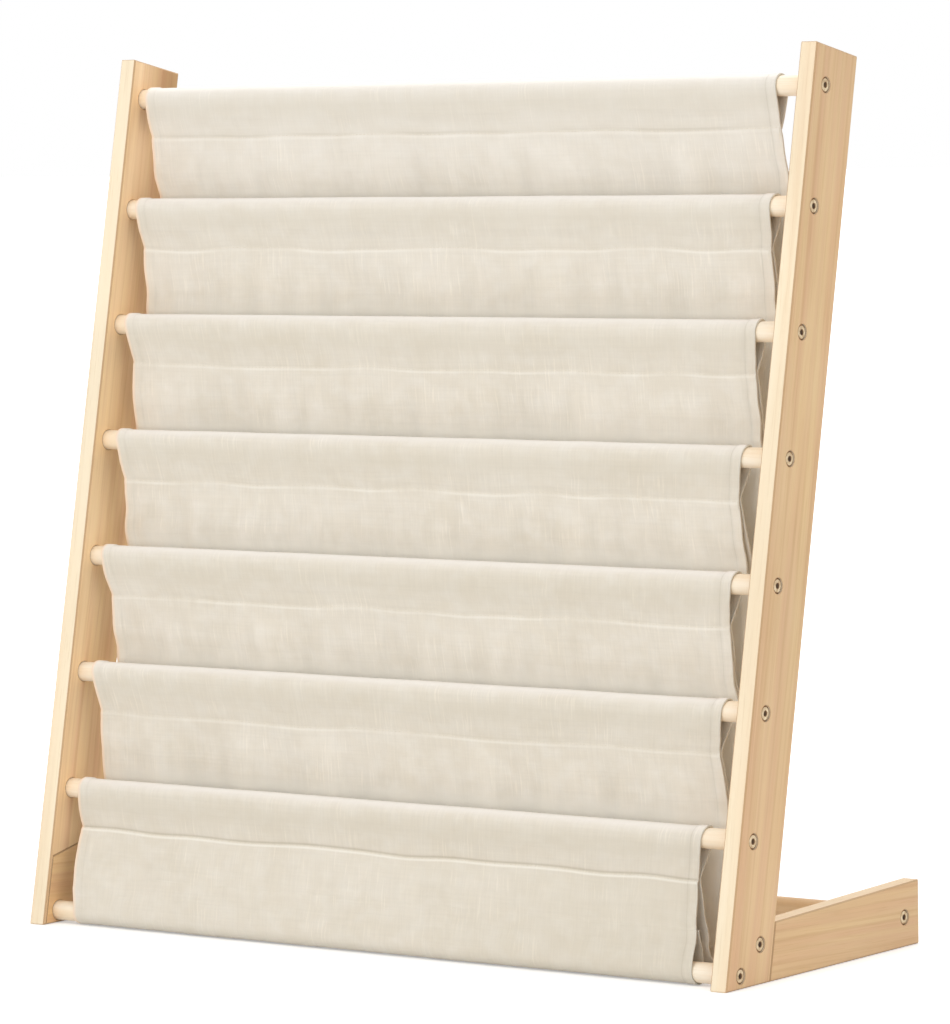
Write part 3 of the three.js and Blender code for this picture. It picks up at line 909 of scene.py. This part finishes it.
def drape_patches():
    """A cloth simulation of the free cloth below each seam, a little wider than the seam that holds it."""
    patches = {tier: np.zeros((PATCH_ROWS, PATCH_COLUMNS)) for tier in PANELS}
    wide, tall = np.linspace(0, cloth_width, PATCH_COLUMNS), np.linspace(0, PATCH_HEIGHT, PATCH_ROWS)
    size = PATCH_ROWS * PATCH_COLUMNS
    points, faces = [], []
    for tier in patches:
        grid = len(points) + np.arange(size).reshape(PATCH_ROWS, PATCH_COLUMNS)
        for down in tall:
            ruffle = 0.5 * folds[tier](wide, down) + 0.22 * creases[tier](wide, down)
            deep = (tier * PATCH_APART + ruffle) * MM
            points += [(x * MM, y, -down * MM) for x, y in zip(wide, deep)]
        corners = grid[:-1, :-1], grid[:-1, 1:], grid[1:, 1:], grid[1:, :-1]
        faces += np.stack(corners, -1).reshape(-1, 4).tolist()
    mesh = bpy.data.meshes.new("drape")
    mesh.from_pydata(points, [], faces)
    thing = bpy.data.objects.new("drape", mesh)
    bpy.context.scene.collection.objects.link(thing)
    pins = thing.vertex_groups.new(name="pins")
    held = [patch * size + column for patch in range(len(patches)) for column in range(PATCH_COLUMNS)]
    pins.add(held, 1.0, "REPLACE")
    drape = thing.modifiers.new("drape", "CLOTH")
    drape.settings.vertex_group_mass = "pins"
    drape.settings.quality = 6
    drape.settings.mass = 0.25
    drape.settings.shrink_min = -0.011
    drape.settings.bending_stiffness = 0.6
    drape.settings.air_damping = 2.0
    drape.collision_settings.use_collision = False
    drape.point_cache.frame_end = DRAPE_FRAMES
    scene = bpy.context.scene
    for number in range(1, DRAPE_FRAMES + 1):
        scene.frame_set(number)
    settled = thing.evaluated_get(bpy.context.evaluated_depsgraph_get())
    places = np.zeros(3 * len(points))
    settled.data.vertices.foreach_get("co", places)
    deep = places.reshape(len(patches), PATCH_ROWS, PATCH_COLUMNS, 3)[..., 1] / MM
    for tier in patches:
        away = deep[tier - 1] - tier * PATCH_APART
        patches[tier] = np.clip(DRAPE_GAIN * (away - away.mean()), -DRAPE_LIMIT, DRAPE_LIMIT)
    scene.frame_set(1)
    bpy.data.objects.remove(thing)
    return patches


patches = drape_patches()


def stand_out(tier, down):
    """How far the free cloth at a drop below a seam stands out to the front, at each column."""
    patch = patches[tier]
    row = np.clip(down / PATCH_HEIGHT, 0, 1) * (PATCH_ROWS - 1)
    column = across / cloth_width * (PATCH_COLUMNS - 1)
    top = min(int(row), PATCH_ROWS - 2)
    first = np.minimum(column.astype(int), PATCH_COLUMNS - 2)
    part, share = row - top, column - first
    upper = patch[top, first] * (1 - share) + patch[top, first + 1] * share
    lower = patch[top + 1, first] * (1 - share) + patch[top + 1, first + 1] * share
    return step(down, 0, FOLDS_START) * (upper * (1 - part) + lower * part + 0.5 * folds[tier](across, down))


def sag(down, height):
    """0 at both ends of a height and 1 between them, a little above the middle."""
    return math.sin(math.pi * min(down / height, 1.0) ** 0.8)


def panel_relief(tier, down):
    """Folds, puckers, the seam's ridge and groove, and the panel's belly to the front."""
    lowest = tier == LOWEST_PANEL
    seam_depth = 1.0 if lowest else 0.5
    relief = -stand_out(tier, down)
    relief -= PUCKER_HEIGHT * math.exp(-down / PUCKER_FADE) * puckers[tier](across, down)
    relief += seam_depth * (bell(down, *SEAM_RIDGE) + bell(down, *SEAM_GROOVE))
    return relief - PANEL_BELLY * sag(down, LOWEST_FALL if lowest else PANEL_FALL)


def wall_relief(tier, down):
    """The cloth that comes back up to a rod follows the panel in front of it."""
    followed = (1 - step(down, *WALL_FOLDS_END)) * stand_out(tier, down) * 0.9
    return followed + WALL_BELLY * sag(down, PANEL_FALL)


def turn_relief(tier, at):
    """The folds of the panel above die out round a pocket's bottom."""
    turned = run[rows_of(tier, "turn")]
    share = (run[at] - turned.min()) / (turned.max() - turned.min())
    return -(1 - step(share, 0, 0.8)) * stand_out(tier - 1, abs(seam_along[tier - 1] - line[at, 1]))


def sleeve_relief(tier, at):
    """A loose bulge round the rod; the lowest sleeve also takes on the lowest panel's folds."""
    away = np.hypot(line[at, 0] - rod_deep, line[at, 1] - rod_along[tier]) - SLEEVE_RADIUS
    loose = 0.25 + 0.75 * step(away, 0, 5)
    bulge = SLEEVE_BULGE * (1 + 0.6 * waves[tier](across, run[at] * 0.5))
    relief = -np.maximum(bulge, 0.05) * loose * (1 - step(away, *BULGE_END))
    if tier == LOWEST_ROD:
        way = -1 if run[at] < run[tiers == LOWEST_ROD].mean() else 1
        from_above = seam_along[LOWEST_PANEL] - line[at, 1]
        return relief + way * step(away, 0, 12) * stand_out(LOWEST_PANEL, from_above)
    relief -= SLEEVE_PUCKERS * step(away, 3, 10) * puckers[tier](across, drop[at])
    return relief + bell(drop[at], *(LOWEST_SLEEVE_RIDGE if tier == LOWEST_PANEL else SLEEVE_RIDGE))


# The cloth's middle surface, row by row
shape = np.zeros((len(rows), len(shares), 3))
free_end = np.isin(kinds, ("panel", "wall"))
sway = soften_rows(np.where(free_end, 0.8 * step(drop, 4, 40), 0.25), 4.0)
for i, (tier, kind, down) in enumerate(zip(tiers, kinds, drop)):
    if kind == "panel":
        out = panel_relief(tier, down)
    elif kind == "wall":
        out = wall_relief(tier, down)
    elif kind == "turn":
        out = turn_relief(tier, i)
    else:
        out = sleeve_relief(tier, i)
    pinch = bell(down, *SEAM_PINCH) if kind != "turn" and tier < LOWEST_ROD else 0.0
    left = left_inset[i] + pinch + sway[i] * end_waves[0][i]
    right = right_inset[i] + pinch + sway[i] * end_waves[1][i]
    x = -inner_face + left + shares * (2 * inner_face - left - right)
    dip = waves[tier](across, 0.0) * bell(down, *SEAM_DIP) if kind != "turn" else 0.0
    deep = line[i, 0] + normal[i, 0] * out + tangent[i, 0] * dip
    along = line[i, 1] + normal[i, 1] * out + tangent[i, 1] * dip
    y, z = from_leaning(deep, along)
    shape[i, :, 0], shape[i, :, 1], shape[i, :, 2] = x * MM, y, z

# Its two sides, with thicker hems on the outer one
facing = np.cross(np.gradient(shape, axis=0), np.gradient(shape, axis=1))
facing /= np.linalg.norm(facing, axis=2)[..., None]
if (facing[:, :, 1] * normal[:, None, 0] * cos_lean).mean() > 0:
    facing = -facing
hem_share = soften_rows(np.where(tiers == LOWEST_ROD, LOWEST_HEM_SHARE, 1.0), 6.0)
thickness = (CLOTH_THICKNESS + HEM_EXTRA * hem_share[:, None] * hem)[..., None] * MM
inner_side = shape - facing * CLOTH_THICKNESS * MM / 2
outer_side = shape + facing * (thickness - CLOTH_THICKNESS * MM / 2)


def closed_sheet(top, bottom):
    """Joins two grids of points into one closed sheet."""
    count, columns = top.shape[:2]
    points = np.concatenate([top.reshape(-1, 3), bottom.reshape(-1, 3)])
    size = count * columns
    grid = np.arange(size).reshape(count, columns)
    a, b, c, d = grid[:-1, :-1], grid[:-1, 1:], grid[1:, 1:], grid[1:, :-1]
    faces = [np.stack([a, b, c, d], -1).reshape(-1, 4), np.stack([a, d, c, b], -1).reshape(-1, 4) + size]
    rim = np.concatenate([grid[0, :], grid[1:, -1], grid[-1, -2::-1], grid[-2:0:-1, 0]])
    after = np.roll(rim, -1)
    faces.append(np.stack([rim, rim + size, after + size, after], -1))
    return points, np.concatenate(faces).tolist()


points, faces = closed_sheet(outer_side, inner_side)
cloth = new_mesh("linen_sling", points, faces, linen("linen", cloth_width * MM))


def mark_cloth(name, kind, outer, inner):
    """Gives the cloth's mesh an attribute, from a grid of values for each side."""
    field, width = ("vector", 3) if kind == "FLOAT_VECTOR" else ("value", 1)
    values = np.concatenate([side.reshape(-1, width) for side in (outer, inner)])
    attribute = cloth.data.attributes.new(name, kind, "POINT")
    attribute.data.foreach_set(field, values.astype(np.float32).ravel())


# Where each point lay on the flat cut
places = np.zeros((len(rows), len(shares), 3))
places[..., 0] = across[None, :] * MM
places[..., 1] = run[:, None] * MM
mark_cloth("flat", "FLOAT_VECTOR", places, places)

# Painted shade and highlight at seams and painted shade along hems, painted light on the sheet's inside, and
# the low part that creases, with painted crease shade
seam_painted_light_and_shade = np.zeros(len(rows))
for i, (tier, kind, down) in enumerate(zip(tiers, kinds, drop)):
    if tier < LOWEST_ROD and kind in ("sleeve", "panel"):
        dark, pale = SEAM_SHADE_AND_HIGHLIGHT.get(tier, OTHER_SEAM_SHADE_AND_HIGHLIGHT)
        below = down if kind == "panel" else -down
        seam_painted_light_and_shade[i] = dark * bell(below, 0, 1.0) - pale * bell(below, 2.6, 1.0)
left_hem_shade = bell(across, *LEFT_HEM_SHADE)
right_hem_shade = bell(cloth_width - across, *RIGHT_HEM_SHADE)
strength = np.stack([np.clip(0.7 + 0.4 * waves[tier](across, 90.0), 0.15, 1.1) for tier in tiers])
strength[tiers == LOWEST_PANEL] = 1
below_seam = np.where(kinds == "panel", drop, 0.0)
marks = np.zeros((len(rows), len(shares), 3))
marks[..., 0] = seam_painted_light_and_shade[:, None] * strength + (left_hem_shade + right_hem_shade)[None, :]
# Painted light on the pockets' inside and on the walls
marks[..., 1] = np.maximum(step(below_seam, 36, 60), kinds == "wall")[:, None]
marks[..., 2] = (step(below_seam, 3, 26) * (1 - 0.6 * (tiers == LOWEST_PANEL)))[:, None]
mark_cloth("marks", "FLOAT_VECTOR", marks, marks * (1, 0, 1))

# Painted highlight on the crown of each sleeve, painted shade in front below it, and painted shade at the
# lowest panel's right
crown_light_and_shade = np.zeros(len(rows))
for rod in PANELS:
    mine = rows_of(rod, "sleeve")
    behind, above = line[mine, 0] - rod_deep, line[mine, 1] - rod_along[rod]
    away = np.hypot(above, behind) - SLEEVE_RADIUS
    around = np.arctan2(above, -behind)
    in_front = behind < SEAM_SET_BACK
    crown_light_and_shade[mine] = (away < 2) * bell(around, *CROWN_HIGHLIGHT)
    crown_light_and_shade[mine] -= in_front * (0.14 * step(away, 0, 6) + bell(-above, *PAINTED_SHADE_BELOW))
lowest = (tiers == LOWEST_ROD) | rows_of(LOWEST_PANEL, "panel")
crown_light_and_shade = crown_light_and_shade[:, None] - lowest[:, None] * (0.12 + 0.25 * step(shares, 0.45, 1.0))[None, :]
mark_cloth("crown_painted_light_and_shade", "FLOAT", crown_light_and_shade, crown_light_and_shade)

cloth_nodes = [n for n in nodes if n.startswith("cloth_")]
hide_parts(*cloth_nodes)

# Stitches along each seam, and loose thread ends
stitch_points, stitch_faces = [], []


def seam_place(rod, distance):
    """A point of the cloth's outer side on the row of a rod's stitches, at a distance from its left end."""
    mine = np.where(rows_of(rod, "panel"))[0]
    row = outer_side[mine[np.argmin(np.abs(drop[mine] - STITCH_DROP))]]
    return np.array([np.interp(distance, across, row[:, axis]) for axis in range(3)])


def stitch(start, end, radius, sides=6):
    """A short length of thread that dips into the cloth at both ends."""
    way = end - start
    length = np.linalg.norm(way)
    other = np.cross(way / length, np.array([0.0, 0.0, 1.0]))
    other /= np.linalg.norm(other)
    third = np.cross(way / length, other)
    base = len(stitch_points)
    for share, size in THREAD_RINGS:
        for number in range(sides):
            angle = 2 * math.pi * number / sides
            round_it = other * math.cos(angle) + third * math.sin(angle)
            stitch_points.append(start + way * share + round_it * radius * size)
    for face in closed_tube(len(THREAD_RINGS), sides):
        stitch_faces.append(tuple(base + point for point in face))


ahead = np.array([0.0, -0.12, 0.03]) * MM
for rod in PANELS:
    place = STITCH_MARGIN
    while place + STITCH_LENGTH < cloth_width - STITCH_MARGIN:
        start, end = seam_place(rod, place), seam_place(rod, place + STITCH_LENGTH)
        stitch(start + ahead, end + ahead, THREAD_RADIUS * MM)
        place += STITCH_LENGTH + STITCH_GAP
for rod, (aside, low) in LOOSE_ENDS.items():
    start = seam_place(rod, cloth_width - LOOSE_INSET)
    hanging = []
    for share in np.linspace(0, 1, 9):
        bend = math.sin(2.6 * share) * aside
        hanging.append(start + np.array([bend, -0.35 - 0.8 * share * (1 - share), low * share]) * MM)
    for first, second in zip(hanging, hanging[1:]):
        stitch(first, second, LOOSE_RADIUS * MM)
stitches = new_mesh("seam_stitches", stitch_points, stitch_faces, thread_material())


# Floor and light
def floor_material():
    """A pale floor that is white where it is seen, and more so away from the object."""
    build = Nodes(bpy.data.materials.new("studio_floor"))
    distance = build.vector_math("LENGTH", build.place())["Value"]
    far = build.map_range(distance, (0.3, 1.4), (0.34, 0.75), "SMOOTHSTEP")
    return build.finish(
        {
            "Base Color": (0.86, 0.86, 0.86, 1),
            "Roughness": 0.9,
            "Specular IOR Level": 0.1,
            "Emission Color": (1, 1, 1, 1),
            "Emission Strength": build.math("MULTIPLY", build.seen_directly(), far),
        }
    )


mesh = bpy.data.meshes.new("studio_floor")
corners = [(x * FLOOR_HALF, y * FLOOR_HALF, 0) for x, y in ((-1, -1), (1, -1), (1, 1), (-1, 1))]
mesh.from_pydata(corners, [], [(0, 1, 2, 3)])
floor =bpy.data.objects.new("studio_floor", mesh)
floor.location.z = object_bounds()[0].z - 0.0002
bpy.context.scene.collection.objects.link(floor)
mesh.materials.append(floor_material())

world = bpy.data.worlds.new("studio")
bpy.context.scene.world = world
sky = Nodes(world, "BACKGROUND")
sky.finish({"Color": (1, 1, 1, 1), "Strength": sky.map_range(sky.seen_directly(), (0, 1), (0.70, 1.0))})


def softbox(name, place, aim, size, power, colour=(1, 1, 1)):
    data = bpy.data.lights.new(name, "AREA")
    data.shape = "RECTANGLE"
    data.size, data.size_y = size
    data.energy = power
    data.color = colour
    lamp = bpy.data.objects.new(name, data)
    bpy.context.scene.collection.objects.link(lamp)
    lamp.location = place
    lamp.rotation_euler = (Vector(aim) - Vector(place)).to_track_quat("-Z", "Y").to_euler()


softbox("key", (-0.7, -2.4, 2.6), (0, 0, 0.3), (2.2, 1.6), 24, (1, 0.99, 0.975))
softbox("front", (0.2, -3.2, 0.3), (0, 0, 0.3), (2.2, 0.6), 12.5)
softbox("fill", (2.8, -1.2, 1.8), (0, 0, 0.45), (1.8, 1.8), 9.5)
softbox("top", (0.0, 0.9, 2.0), (0.1, 0.05, 0.05), (1.2, 1.2), 15)

# Camera
forward = Vector((-math.sin(YAW) * math.cos(PITCH), math.cos(YAW) * math.cos(PITCH), math.sin(PITCH)))
level = Vector((math.cos(YAW), math.sin(YAW), 0))
upward = level.cross(forward)
right = math.cos(ROLL) * level + math.sin(ROLL) * upward
up = math.cos(ROLL) * upward - math.sin(ROLL) * level
camera_data = bpy.data.cameras.new("camera")
camera = bpy.data.objects.new("camera", camera_data)
bpy.context.scene.collection.objects.link(camera)
bpy.context.scene.camera = camera
turn = Matrix((right, up, -forward)).transposed().to_4x4()
camera.matrix_world = Matrix.Translation(Vector(CAMERA_PLACE)) @ turn
camera_data.sensor_width = SENSOR
camera_data.lens = FOCAL_PIXELS * camera_data.sensor_width / max(PICTURE)
camera_data.shift_x = (PICTURE[0] / 2 - AXIS_PIXEL[0]) / max(PICTURE)
camera_data.shift_y = (AXIS_PIXEL[1] - PICTURE[1] / 2) / max(PICTURE)
camera_data.clip_end = 200

bpy.context.scene.view_settings.view_transform = "Standard"
